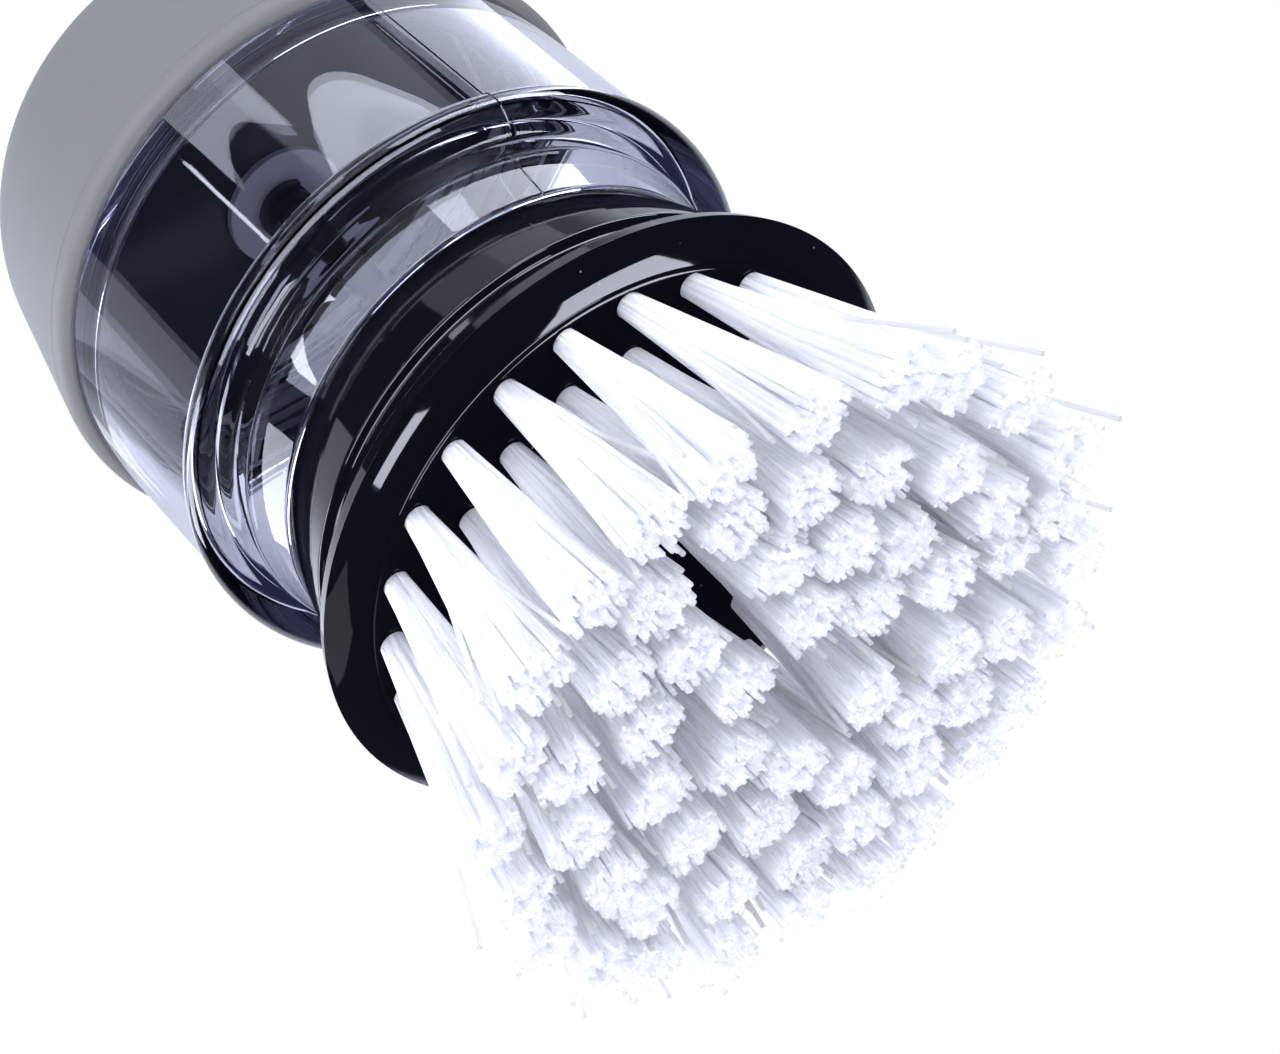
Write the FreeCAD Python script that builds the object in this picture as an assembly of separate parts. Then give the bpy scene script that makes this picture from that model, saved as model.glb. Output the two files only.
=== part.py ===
"""Palm-held dish brush with a soap tank, modelled as separate pieces in millimetres.

The brush stands on its bristle ends at height zero, with its axis along +Z and its press button on top.
A brush head screws onto the tank's neck, a domed cap screws onto the tank's mouth, and a button in the
cap pushes a sprung stem that opens the soap valve in the tank's floor.
"""
import FreeCAD, Part
import math
import os

Vector = FreeCAD.Vector
os.makedirs("parts", exist_ok=True)

# Clearances
seat_gap = 0.3  # between pieces that close on each other across a joint
slip_gap = 0.05  # radial clearance of a rod running in its guide
press_gap = 0.02  # radial clearance of a piece pressed or glued into another
stop_gap = 0.4  # room left beyond the end of the valve's stroke

# Brush head
bristle_trim = 29.15  # tuft face to the trimmed bristle ends
disc_thickness = 4.6
disc_proud = 0.35  # tuft disc standing below the head's underside
underside_rise = 2.1  # rounded underside, from the disc's edge up to the flange's parting line
underside_crown = 0.35  # how far the rounded underside swells past a straight cone
flange_radius = 33.0
flange_edge = 1.9  # height of the flange's edge band
flange_draft = 0.57  # how much narrower the edge band is at its top
underside_width = 3.75  # flange edge to tuft disc
flange_overhang = 3.4  # flange edge to the collar's foot
groove_depth = 0.6  # undercut below the collar's foot
groove_web = 1.55  # head material between the tuft disc and the groove
valve_room = 3.2  # room round the valve in the head's partition
groove_width = 3.1
collar_height = 9.6
collar_flare = 2.25  # how much wider the collar is at its foot
collar_wall = 1.15
head_web = 2.8  # partition above the tuft disc
outlet_radius = 3.5

# Tufts
ring_phases = (2.8, 3.4, 15.0, 0.0)  # degrees from +X to the first tuft of each ring
ring_sectors = 6  # each ring's pattern repeats this many times round the disc
ring_margin = 2.05  # disc edge to the outer ring of holes
core_margin = 4.5  # soap outlet's edge to the core ring of holes
tuft_pitch = 7.1  # least spacing of the holes along a ring
tuft_splay = 10.6  # degrees that the outer tufts lean outwards
tuft_hole_radius = 1.5
tuft_hole_depth = 4.0
tuft_slack = 0.1  # radial room round a tuft in its hole
tuft_spacing = 0.5  # least room between the spread ends of two tufts
anchor_height = 1.0
anchor_thickness = 0.5

# Screw threads of the neck and the mouth
thread_lead = 4.0
ridge_height = 1.0
ridge_root = 1.6  # width of a thread ridge where it leaves the wall
ridge_crest = 0.8
ridge_margin = 1.0  # ridge ends to the ends of the threaded length
ridge_sink = 0.3  # how deep a ridge is rooted in its wall

# Tank
tank_wall = 2.5
waist_height = 6.35
waist_flare = 1.0
shoulder_width = 4.1  # waist to the outer wall
bulge_rise = 3.5  # underside of the bulge to its widest ring
bulge_fall = 3.25  # widest ring up to the plain wall
bulge_proud = 0.65
wall_height = 21.8
mouth_inset = 3.6  # outer wall in to the threaded mouth
mouth_height = 10.4
floor_thickness = 2.4
floor_drop = 0.6  # collar rim down to the tank's floor
spout_bore = 4.2
spout_wall = 2.3
guide_seat = 1.2  # depth of the guide's seat in the floor
seal_thickness = 1.6

# Valve
stroke = 4.0
stem_radius = 1.75
poppet_lap = 1.6  # how far the poppet reaches past the spout's bore
poppet_thickness = 1.9
poppet_ring_thickness = 0.8
guide_ring_inner = 4.9
guide_ring_width = 2.1
guide_thickness = 1.6
guide_hub_wall = 1.15
guide_hub_height = 4.6
guide_arm_width = 1.6
guide_arm_count = 3
spring_wire = 0.8
spring_turns = 6
spring_pitch = 2.35
cup_thickness = 2.2
cup_skirt = 1.5
cup_wall = 0.8

# Cap
lip_overlap = 0.15  # how far the lip's lower edge stands out past the tank's wall
lip_proud = 1.17  # how far the lip's widest line stands out past the tank's wall
lip_height = 2.3
cap_rise = 31.0  # lip's widest line up to the crown
cap_taper = 11.2  # degrees that the cap's side leans in
crown_fillet = 16.0
cap_wall = 2.0
ledge_depth = 1.55  # rib that the closure seats against
ledge_height = 1.2
gasket_thickness = 1.3
closure_thickness = 2.0

# Press button
button_radius = 11.95
button_gap = 0.35
button_proud = 1.6
button_wall = 2.0
button_skirt = 4.5
well_wall = 1.6
well_depth = 7.0
plunger_radius = 2.8
plunger_head = 2.5
plunger_reach = 1.8  # plunger standing below its sleeve
sleeve_radius = 7.0
sleeve_drop = 0.8  # sleeve below the closure
sleeve_flange = 2.5
sleeve_flange_height = 1.5
sleeve_rise = 5.8  # sleeve above the closure
plunger_ring_wire = 0.9  # section radius of the plunger's sealing ring
clip_thickness = 0.8
clip_width = 1.5
clip_groove = 0.7
clip_mouth = 70.0  # degrees of the clip's open side

# Heights worked out from the sizes above
face_level = bristle_trim
disc_top = face_level + disc_thickness
rim_level = face_level + disc_proud
parting_level = rim_level + underside_rise
edge_level = parting_level + flange_edge
groove_level = disc_top + groove_web
foot_level = groove_level + groove_width
collar_level = foot_level + collar_height
web_top = disc_top + head_web
neck_bottom = web_top + seal_thickness + 2 * seat_gap
waist_level = collar_level + seat_gap
bulge_level = collar_level + waist_height
crest_level = bulge_level + bulge_rise
wall_level = crest_level + bulge_fall
shoulder_level = wall_level + wall_height
mouth_level = shoulder_level + mouth_height
floor_top = collar_level - floor_drop
floor_bottom = floor_top - floor_thickness
spout_bottom = disc_top + stop_gap + stroke + poppet_thickness + poppet_ring_thickness + seat_gap
guide_bottom = floor_top - guide_seat
guide_top = guide_bottom + guide_thickness
spring_foot = guide_top + seat_gap
spring_length = spring_turns * spring_pitch + spring_wire
cup_level = spring_foot + spring_length + seat_gap
lip_face = shoulder_level + seat_gap
lip_level = lip_face + lip_height
crown_level = lip_level + cap_rise
closure_level = mouth_level + gasket_thickness + 2 * seat_gap
closure_top = closure_level + closure_thickness
sleeve_bottom = closure_level - sleeve_drop
sleeve_top = closure_top + sleeve_rise
plunger_bottom = sleeve_bottom - plunger_reach
stem_top = plunger_bottom - seat_gap
button_top = crown_level + button_proud
poppet_top = spout_bottom - seat_gap - poppet_ring_thickness
poppet_bottom = poppet_top - poppet_thickness

# Radii worked out from the sizes above
disc_radius = flange_radius - underside_width
collar_foot_radius = flange_radius - flange_overhang
collar_top_radius = collar_foot_radius - collar_flare
groove_radius = collar_foot_radius - groove_depth
collar_bore = collar_top_radius - collar_wall
neck_radius = collar_bore - ridge_height - seat_gap
neck_bore = neck_radius - tank_wall
waist_top_radius = collar_top_radius + waist_flare
wall_radius = waist_top_radius + shoulder_width
wall_bore = wall_radius - tank_wall
crest_radius = wall_radius + bulge_proud
mouth_radius = wall_radius - mouth_inset
mouth_bore = mouth_radius - tank_wall
spout_radius = spout_bore + spout_wall
poppet_radius = spout_bore + poppet_lap
head_opening = max(poppet_radius, spout_radius) + valve_room
guide_radius = guide_ring_inner + guide_ring_width
spring_radius = guide_ring_inner + guide_ring_width / 3
cup_bore = spring_radius + spring_wire / 2 + seat_gap
cap_bore = mouth_radius + ridge_height + seat_gap
lip_radius = wall_radius + lip_proud
closure_radius = cap_bore - ridge_height - slip_gap
well_radius = button_radius + button_gap
plunger_head_radius = button_radius - button_wall
outer_ring_radius = disc_radius - ring_margin
core_ring_radius = outlet_radius + core_margin
ring_step = (outer_ring_radius - core_ring_radius) / (len(ring_phases) - 1)


def edge_between(start, step):
    """One edge of an outline: a straight line to a point, or an arc through a point to another."""
    if isinstance(step[0], tuple):
        through, end = step
        return Part.Arc(spot(start), spot(through), spot(end)).toShape(), end
    return Part.LineSegment(spot(start), spot(step)).toShape(), step


def spot(point):
    """An outline's (radius, height) as a point in the XZ plane."""
    return Vector(point[0], 0, point[1])


def turned(start, *steps):
    """Solid turned about the Z axis from an outline that closes back to its start."""
    edges = []
    here = start
    for step in steps + (start,):
        edge, here = edge_between(here, step)
        edges.append(edge)
    face = Part.Face(Part.Wire(edges))
    return face.revolve(Vector(0, 0, 0), Vector(0, 0, 1), 360)


def ring(inner, outer, bottom, top):
    """Plain flat ring."""
    return turned((inner, bottom), (outer, bottom), (outer, top), (inner, top))


def thread_ridge(wall, crest, start_level, turns):
    """Helical ridge that stands from a wall towards a crest radius, rooted a little inside the wall."""
    outward = 1 if crest > wall else -1
    root = wall - outward * ridge_sink
    path = Part.makeHelix(thread_lead, thread_lead * turns, root)
    half_root = ridge_root / 2
    half_crest = ridge_crest / 2
    corners = [(root, -half_root), (crest, -half_crest), (crest, half_crest), (root, half_root)]
    section = Part.makePolygon([spot(corner) for corner in corners + corners[:1]])
    ridge = Part.Wire(path.Edges).makePipeShell([section], True, True)
    ridge.translate(Vector(0, 0, start_level))
    return ridge


def write(name, shape):
    """Checks a piece and writes its file."""
    if not shape.isValid():
        raise ValueError(name + " is not a valid shape")
    shape.exportStep("parts/" + name + ".step")
    print(name, "solids", len(shape.Solids), "volume", round(shape.Volume, 2))


# Threads: the neck's ridge lies below the collar's, and the cap's below the mouth's, so that each pair holds
neck_ridge_level = neck_bottom + ridge_margin
collar_ridge_level = neck_ridge_level + thread_lead / 2
neck_turns = (collar_level - ridge_margin - collar_ridge_level) / thread_lead
cap_ridge_level = lip_face + ridge_margin
mouth_ridge_level = cap_ridge_level + thread_lead / 2
mouth_turns = (mouth_level - ridge_margin - mouth_ridge_level) / thread_lead


def head_shell():
    """Black head: rounded underside, flange, undercut groove and flared collar with its thread."""
    recess = disc_radius + press_gap
    swell = underside_crown / math.sqrt(2)
    underside_middle = ((recess + flange_radius) / 2 + swell, (rim_level + parting_level) / 2 - swell)
    fillet = groove_depth
    corner = (groove_radius + fillet * (1 - math.sqrt(0.5)), groove_level - fillet * math.sqrt(0.5))
    body = turned(
        (head_opening, disc_top),
        (recess, disc_top),
        (recess, rim_level),
        (underside_middle, (flange_radius, parting_level)),
        (flange_radius - flange_draft, edge_level),
        (groove_radius + fillet, groove_level - fillet),
        (corner, (groove_radius, groove_level)),
        (groove_radius, foot_level - groove_depth),
        (collar_foot_radius, foot_level),
        (collar_top_radius, collar_level),
        (collar_bore, collar_level),
        (collar_bore, web_top),
        (head_opening, web_top),
    )
    return body.fuse(thread_ridge(collar_bore, collar_bore - ridge_height, collar_ridge_level, neck_turns))


def ring_lean(radius):
    """Outward lean of the tufts of a ring, in degrees, growing with the ring's radius."""
    return tuft_splay * radius / outer_ring_radius


def ring_radius(index):
    return outer_ring_radius - index * ring_step


def ring_count(index):
    """Number of tufts in a ring: as many in each sector as the pitch leaves room for."""
    around = 2 * math.pi * ring_radius(index)
    return ring_sectors * max(1, int(around / (ring_sectors * tuft_pitch)))


def spread_radius(index):
    """Ring radius of the trimmed bristle ends."""
    radius = ring_radius(index)
    return radius + bristle_trim * math.tan(math.radians(ring_lean(radius)))


def tuft_end_radius():
    """Radius of a tuft's spread end, as large as the closest pair of neighbours leaves room for."""
    rooms = []
    for index in range(len(ring_phases)):
        rooms.append(2 * spread_radius(index) * math.sin(math.pi / ring_count(index)))
        if index:
            rooms.append(spread_radius(index - 1) - spread_radius(index))
    return (min(rooms) * math.cos(math.radians(tuft_splay)) - tuft_spacing) / 2


def tuft_places(index):
    """Placements of a ring's tufts: local Z runs from the bottom of the hole out along the tuft."""
    radius = ring_radius(index)
    lean = ring_lean(radius)
    places = []
    for number in range(ring_count(index)):
        angle = ring_phases[index] + number * 360.0 / ring_count(index)
        turn = FreeCAD.Rotation(Vector(0, 0, 1), angle) * FreeCAD.Rotation(Vector(0, 1, 0), 180 - lean)
        mouth = FreeCAD.Rotation(Vector(0, 0, 1), angle).multVec(Vector(radius, 0, face_level))
        out = turn.multVec(Vector(0, 0, 1))
        places.append(FreeCAD.Placement(mouth - out * tuft_hole_depth, turn))
    return places


def placed(shape, place):
    copy = shape.copy()
    copy.Placement = place
    return copy


def tuft_disc():
    """Disc that holds the tufts, with a soap outlet in the middle and a leaning hole for each tuft."""
    edge_round = disc_proud / 2
    middle = (disc_radius - edge_round * (1 - math.sqrt(0.5)), face_level + edge_round * (1 - math.sqrt(0.5)))
    disc = turned(
        (outlet_radius, face_level),
        (disc_radius - edge_round, face_level),
        (middle, (disc_radius, face_level + edge_round)),
        (disc_radius, disc_top),
        (outlet_radius, disc_top),
    )
    drill = Part.makeCylinder(tuft_hole_radius, tuft_hole_depth + tuft_hole_radius)
    holes = [placed(drill, place) for index in range(len(ring_phases)) for place in tuft_places(index)]
    return disc.cut(holes)


def tuft_ring(index):
    """Tufts of one ring: straight in the hole, then spreading, and trimmed level at height zero."""
    root = tuft_hole_radius - tuft_slack
    start = anchor_height + tuft_slack
    lean = math.radians(ring_lean(ring_radius(index)))
    reach = bristle_trim / math.cos(lean)
    end = tuft_end_radius()
    overrun = end * math.tan(lean) + tuft_slack
    widening = (end - root) / reach
    bundle = turned(
        (0, start),
        (root, start),
        (root, tuft_hole_depth),
        (end + widening * overrun, tuft_hole_depth + reach + overrun),
        (0, tuft_hole_depth + reach + overrun),
    )
    span = 2 * (flange_radius + bristle_trim)
    below = Part.makeBox(span, span, span, Vector(-span / 2, -span / 2, -span))
    return Part.makeCompound([placed(bundle, place).cut(below) for place in tuft_places(index)])


def anchor_wires():
    """Flat wires at the bottoms of the holes, over which the tufts are folded."""
    length = 2 * (tuft_hole_radius - tuft_slack)
    wire = Part.makeBox(length, anchor_thickness, anchor_height, Vector(-length / 2, -anchor_thickness / 2, 0))
    return Part.makeCompound([placed(wire, place) for index in range(len(ring_phases)) for place in tuft_places(index)])


def tank():
    """Clear soap tank: threaded neck, waist, rounded bulge, plain wall and threaded mouth, in one piece."""
    bulge_middle = (waist_top_radius + 0.74 * (crest_radius - waist_top_radius), bulge_level + 0.28 * bulge_rise)
    fall_middle = (crest_radius - 0.22 * bulge_proud, crest_level + 0.5 * bulge_fall)
    inner_bulge_end = waist_top_radius - tank_wall
    inner_bulge_level = bulge_level + tank_wall / 5
    inner_bulge_middle = (
        inner_bulge_end + 0.74 * (wall_bore - inner_bulge_end),
        inner_bulge_level + 0.28 * (wall_level - inner_bulge_level),
    )
    inner_shoulder = shoulder_level - tank_wall
    body = turned(
        (spout_bore, spout_bottom),
        (spout_radius, spout_bottom),
        (spout_radius, floor_bottom),
        (neck_bore, floor_bottom),
        (neck_bore, neck_bottom),
        (neck_radius, neck_bottom),
        (neck_radius, waist_level),
        (collar_top_radius, waist_level),
        (waist_top_radius, bulge_level),
        (bulge_middle, (crest_radius, crest_level)),
        (fall_middle, (wall_radius, wall_level)),
        (wall_radius, shoulder_level),
        (mouth_radius, shoulder_level),
        (mouth_radius, mouth_level),
        (mouth_bore, mouth_level),
        (mouth_bore, inner_shoulder + wall_bore - mouth_bore),
        (wall_bore, inner_shoulder),
        (wall_bore, wall_level),
        (inner_bulge_middle, (inner_bulge_end, inner_bulge_level)),
        (neck_bore, floor_top),
        (guide_radius + press_gap, floor_top),
        (guide_radius + press_gap, guide_bottom),
        (spout_bore, guide_bottom),
    )
    neck_ridge = thread_ridge(neck_radius, neck_radius + ridge_height, neck_ridge_level, neck_turns)
    mouth_ridge = thread_ridge(mouth_radius, mouth_radius + ridge_height, mouth_ridge_level, mouth_turns)
    return body.fuse([neck_ridge, mouth_ridge])


def stem_guide():
    """Spider in the tank's floor: a hub round the stem, three arms and a ring that the spring stands on."""
    bore = stem_radius + slip_gap
    hub = bore + guide_hub_wall
    solid = ring(guide_ring_inner, guide_radius, guide_bottom, guide_top)
    solid = solid.fuse(ring(bore, hub, guide_bottom, guide_bottom + guide_hub_height))
    reach = guide_ring_inner + guide_ring_width / 2
    root = bore + guide_hub_wall / 2
    for number in range(guide_arm_count):
        arm = Part.makeBox(reach - root, guide_arm_width, guide_thickness)
        arm.translate(Vector(root, -guide_arm_width / 2, guide_bottom))
        arm.rotate(Vector(0, 0, 0), Vector(0, 0, 1), number * 360.0 / guide_arm_count)
        solid = solid.fuse(arm)
    return solid.removeSplitter()


def valve_stem():
    return Part.makeCylinder(stem_radius, stem_top - poppet_bottom, Vector(0, 0, poppet_bottom))


def spring_cup():
    """Cup pressed on the stem, over the top of the spring."""
    outer = cup_bore + cup_wall
    bore = stem_radius + press_gap
    return turned(
        (bore, cup_level),
        (cup_bore, cup_level),
        (cup_bore, cup_level - cup_skirt),
        (outer, cup_level - cup_skirt),
        (outer, cup_level + cup_thickness),
        (bore, cup_level + cup_thickness),
    )


def valve_poppet():
    """Disc on the stem's foot that closes the spout from below."""
    chamfer = poppet_thickness / 3
    bore = stem_radius + press_gap
    return turned(
        (bore, poppet_bottom),
        (poppet_radius - chamfer, poppet_bottom),
        (poppet_radius, poppet_bottom + chamfer),
        (poppet_radius, poppet_top),
        (bore, poppet_top),
    )


def poppet_ring():
    """Soft ring on the poppet that meets the spout's end."""
    return ring(stem_radius + press_gap, poppet_radius, poppet_top, poppet_top + poppet_ring_thickness)


def helix_point(turn):
    """Point and unit direction on the spring's centre line after a number of turns."""
    angle = 2 * math.pi * turn
    level = spring_foot + spring_wire / 2 + spring_pitch * turn
    point = Vector(spring_radius * math.cos(angle), spring_radius * math.sin(angle), level)
    around = 2 * math.pi * spring_radius
    direction = Vector(-around * math.sin(angle), around * math.cos(angle), spring_pitch)
    return point, direction.normalize()


def arc_with_tangent(start, control, end):
    """Arc between two points whose tangents there meet at the control point."""
    weight = (end - start).Length / (2 * (control - start).Length)
    middle = (start + control * (2 * weight) + end) * (0.5 / (1 + weight))
    return Part.Arc(start, middle, end).toShape()


def biarc(first, second):
    """Two tangent arcs from one point and direction to another."""
    (start, leave), (end, arrive) = first, second
    span = end - start
    both = leave + arrive
    open_angle = 2 * (1 - leave.dot(arrive))
    along = span.dot(both)
    handle = (math.sqrt(along * along + open_angle * span.dot(span)) - along) / open_angle
    joint = (start + end + (leave - arrive) * handle) * 0.5
    return [
        arc_with_tangent(start, start + leave * handle, joint),
        arc_with_tangent(joint, end - arrive * handle, end),
    ]


def return_spring():
    """Coil spring round the stem, one unbroken wire, with its least gap to itself printed."""
    quarter_count = 4 * spring_turns
    stations = [helix_point(number / 4) for number in range(quarter_count + 1)]
    edges = []
    for number in range(quarter_count):
        edges.extend(biarc(stations[number], stations[number + 1]))
    start, leave = stations[0]
    section = Part.Wire(Part.makeCircle(spring_wire / 2, start, leave))
    coil = Part.Wire(edges).makePipeShell([section], True, False)
    per_turn = 36
    line = [helix_point(number / per_turn)[0] for number in range(spring_turns * per_turn + 1)]
    near = min(
        line[low].distanceToPoint(line[high])
        for low in range(len(line))
        for high in range(low + per_turn // 2, len(line))
    )
    print("return_spring least gap to itself", round(near - spring_wire, 2))
    return coil


def neck_seal():
    """Flat ring between the tank's neck and the head."""
    return ring(neck_bore, neck_radius, web_top + seat_gap, web_top + seat_gap + seal_thickness)


def cap_gasket():
    """Flat ring between the tank's mouth and the closure."""
    return ring(mouth_bore, mouth_radius, mouth_level + seat_gap, mouth_level + seat_gap + gasket_thickness)


def crown_centre(fillet):
    """Centre of the round between the cap's leaning side and its flat crown."""
    lean = math.radians(cap_taper)
    height = crown_level - fillet
    radius = lip_radius - (fillet + (height - lip_level) * math.sin(lean)) / math.cos(lean)
    return radius, height


def round_point(centre, radius, degrees):
    angle = math.radians(degrees)
    return centre[0] + radius * math.cos(angle), centre[1] + radius * math.sin(angle)


def cap_fillet():
    """The crown's round, limited so that it ends outside the button's well."""
    fillet = crown_fillet
    while crown_centre(fillet)[0] < well_radius + well_wall:
        fillet *= 0.95
    return fillet


def cap_shell():
    """Grey cap: rolled lip, leaning side, rounded crown with the button's well, and the thread inside."""
    fillet = cap_fillet()
    centre = crown_centre(fillet)
    half_turn = (cap_taper + 90) / 2
    inner = fillet - cap_wall
    foot = wall_radius + lip_overlap
    lip_middle = (lip_radius - 0.3 * (lip_radius - foot), lip_face + 0.35 * lip_height)
    seat = closure_radius + press_gap
    ledge = closure_radius - ledge_depth
    ledge_top = closure_top + ledge_height
    lean = math.tan(math.radians(cap_taper))
    inside = lip_radius - (ledge_top - lip_level) * lean - cap_wall / math.cos(math.radians(cap_taper))
    step_level = mouth_level + seat_gap
    body = turned(
        (cap_bore, lip_face),
        (foot, lip_face),
        (lip_middle, (lip_radius, lip_level)),
        round_point(centre, fillet, cap_taper),
        (round_point(centre, fillet, half_turn), round_point(centre, fillet, 90)),
        (well_radius, crown_level),
        (well_radius, crown_level - well_depth),
        (well_radius + well_wall, crown_level - well_depth),
        (well_radius + well_wall, crown_level - cap_wall),
        round_point(centre, inner, 90),
        (round_point(centre, inner, half_turn), round_point(centre, inner, cap_taper)),
        (inside, ledge_top),
        (ledge, ledge_top),
        (ledge, closure_top),
        (seat, closure_top),
        (seat, step_level + cap_bore - seat),
        (cap_bore, step_level),
    )
    return body.fuse(thread_ridge(cap_bore, cap_bore - ridge_height, cap_ridge_level, mouth_turns))


def cap_closure():
    """Black disc that closes the tank's mouth under the cap."""
    return ring(sleeve_radius + press_gap, closure_radius, closure_level, closure_top)


def button_sleeve():
    """Sleeve in the middle of the closure that guides the plunger, with a groove for its sealing ring."""
    bore = plunger_radius + slip_gap
    groove = plunger_radius + 2 * plunger_ring_wire + 2 * slip_gap
    groove_bottom = closure_level
    groove_top = groove_bottom + 2 * plunger_ring_wire + 2 * slip_gap
    flange = sleeve_radius + sleeve_flange
    return turned(
        (bore, sleeve_bottom),
        (sleeve_radius, sleeve_bottom),
        (sleeve_radius, closure_top),
        (flange, closure_top),
        (flange, closure_top + sleeve_flange_height),
        (sleeve_radius, closure_top + sleeve_flange_height),
        (sleeve_radius, sleeve_top),
        (bore, sleeve_top),
        (bore, groove_top),
        (groove, groove_top),
        (groove, groove_bottom),
        (bore, groove_bottom),
    )


def plunger_seal():
    """Round-section ring in the sleeve's groove."""
    middle = plunger_radius + slip_gap + plunger_ring_wire
    level = closure_level + slip_gap + plunger_ring_wire
    return Part.makeTorus(middle, plunger_ring_wire, Vector(0, 0, level))


def button_plunger():
    """Plunger: a rod through the sleeve, grooved for its clip, under a round head inside the button."""
    head_top = button_top - button_wall - press_gap
    head_bottom = head_top - plunger_head
    clip_top = sleeve_bottom - seat_gap
    clip_bottom = clip_top - clip_thickness
    neck = plunger_radius - clip_groove
    return turned(
        (0, plunger_bottom),
        (plunger_radius, plunger_bottom),
        (plunger_radius, clip_bottom - press_gap),
        (neck, clip_bottom - press_gap),
        (neck, clip_top + press_gap),
        (plunger_radius, clip_top + press_gap),
        (plunger_radius, head_bottom),
        (plunger_head_radius - press_gap, head_bottom),
        (plunger_head_radius - press_gap, head_top),
        (0, head_top),
    )


def button_clip():
    """Open clip in the plunger's groove, which keeps the button in the cap."""
    clip_top = sleeve_bottom - seat_gap
    inner = plunger_radius - clip_groove + press_gap
    outer = plunger_radius - clip_groove + clip_width
    body = ring(inner, outer, clip_top - clip_thickness, clip_top)
    half = math.tan(math.radians(clip_mouth / 2)) * outer
    corners = [(0, 0), (outer, -half), (outer, half), (0, 0)]
    base = clip_top - 2 * clip_thickness
    wedge = Part.Face(Part.makePolygon([Vector(x, y, base) for x, y in corners]))
    return body.cut(wedge.extrude(Vector(0, 0, 3 * clip_thickness)))


def button_pad():
    """Soft domed button over the plunger's head."""
    dome_radius = (button_radius ** 2 + button_proud ** 2) / (2 * button_proud)
    half_angle = math.degrees(math.asin(button_radius / dome_radius)) / 2
    dome_middle = round_point((0, button_top - dome_radius), dome_radius, 90 - half_angle)
    under = button_top - button_wall
    skirt_bottom = under - button_skirt
    return turned(
        (plunger_head_radius, skirt_bottom),
        (button_radius, skirt_bottom),
        (button_radius, crown_level),
        (dome_middle, (0, button_top)),
        (0, under),
        (plunger_head_radius, under),
    )


write("head_shell", head_shell())
write("tuft_disc", tuft_disc())
for ring_index, ring_name in enumerate(("tufts_outer", "tufts_middle", "tufts_inner", "tufts_core")):
    write(ring_name, tuft_ring(ring_index))
for piece in (
    anchor_wires,
    neck_seal,
    tank,
    stem_guide,
    valve_stem,
    spring_cup,
    valve_poppet,
    poppet_ring,
    return_spring,
    cap_gasket,
    cap_shell,
    cap_closure,
    button_sleeve,
    plunger_seal,
    button_plunger,
    button_clip,
    button_pad,
):
    write(piece.__name__, piece())
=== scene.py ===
"""Looks of a palm-held dish brush with a soap tank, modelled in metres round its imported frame.

The brush stands on its bristle ends at height zero with its axis along +Z. Each operator models one piece,
or one group of like pieces, rides it on the body that it belongs to and gives it a procedural finish.
"""
import math
import random

import bpy
from mathutils import Matrix, Vector


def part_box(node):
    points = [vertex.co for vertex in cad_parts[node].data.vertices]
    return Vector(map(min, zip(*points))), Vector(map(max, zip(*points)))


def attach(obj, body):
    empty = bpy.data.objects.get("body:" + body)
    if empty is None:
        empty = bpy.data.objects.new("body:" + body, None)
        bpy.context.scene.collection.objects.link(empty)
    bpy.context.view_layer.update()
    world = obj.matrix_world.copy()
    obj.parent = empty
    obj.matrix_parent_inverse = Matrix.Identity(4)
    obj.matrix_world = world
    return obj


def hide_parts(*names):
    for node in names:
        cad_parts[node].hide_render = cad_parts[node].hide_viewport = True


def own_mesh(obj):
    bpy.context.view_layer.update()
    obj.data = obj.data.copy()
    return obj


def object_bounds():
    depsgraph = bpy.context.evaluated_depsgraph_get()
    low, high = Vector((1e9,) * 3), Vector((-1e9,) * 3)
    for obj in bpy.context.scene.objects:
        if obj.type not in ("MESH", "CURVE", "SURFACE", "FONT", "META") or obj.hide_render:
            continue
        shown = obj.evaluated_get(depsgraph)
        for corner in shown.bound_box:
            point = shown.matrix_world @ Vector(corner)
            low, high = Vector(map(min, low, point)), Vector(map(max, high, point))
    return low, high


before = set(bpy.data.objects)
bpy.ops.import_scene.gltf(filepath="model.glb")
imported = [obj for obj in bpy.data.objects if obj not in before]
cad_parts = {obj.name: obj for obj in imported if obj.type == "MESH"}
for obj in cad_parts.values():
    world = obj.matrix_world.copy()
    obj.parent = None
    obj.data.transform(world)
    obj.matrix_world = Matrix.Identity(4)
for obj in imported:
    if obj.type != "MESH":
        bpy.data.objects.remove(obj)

bl_info = {
    "name": "Palm Dish Brush",
    "version": (1, 0, 0),
    "blender": (4, 5, 0),
    "location": "View3D > Sidebar > Dish Brush",
    "description": "Models the looks of a palm-held dish brush round its packed frame",
    "category": "Add Mesh",
}

MM = 0.001
SPIN_STEPS = 192  # steps of a full turn
THREAD_STEPS = 96  # steps of one turn of a thread
MERGE = 0.001 * MM  # points closer than this become one
LONG_RUN = 1.2 * MM  # straight runs longer than this are braced
BRACE = 0.15 * MM  # distance of a brace from the end of its run
ROUND_SHARE = 0.45  # a round takes at most this share of the runs beside it
HOLE_STEPS = 28  # steps round a tuft's hole
COIL_STEPS = 48  # steps of one turn of the spring
WIRE_STEPS = 14  # steps round the spring's wire
ON_PLANE = 0.01 * MM  # points closer to a plane than this lie on it
ROOT_DEPTH = 2.5 * MM  # how far a filament reaches into its hole
RING_GROWTH = 6  # tufts that each ring has more than the ring inside it
WHITE_WALL = (-0.80, -0.62)  # cosines between which the white wall behind the brush fades into dusk
FILL_RISE = (-1.0, 0.3)  # heights of a direction between which the fill grows from its least to its most
cad_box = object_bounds()
head_low, head_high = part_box("head_shell")
disc_low, disc_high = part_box("tuft_disc")
tank_low, tank_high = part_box("tank")
cap_low, cap_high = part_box("cap_shell")
button_low, button_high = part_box("button_pad")
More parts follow.
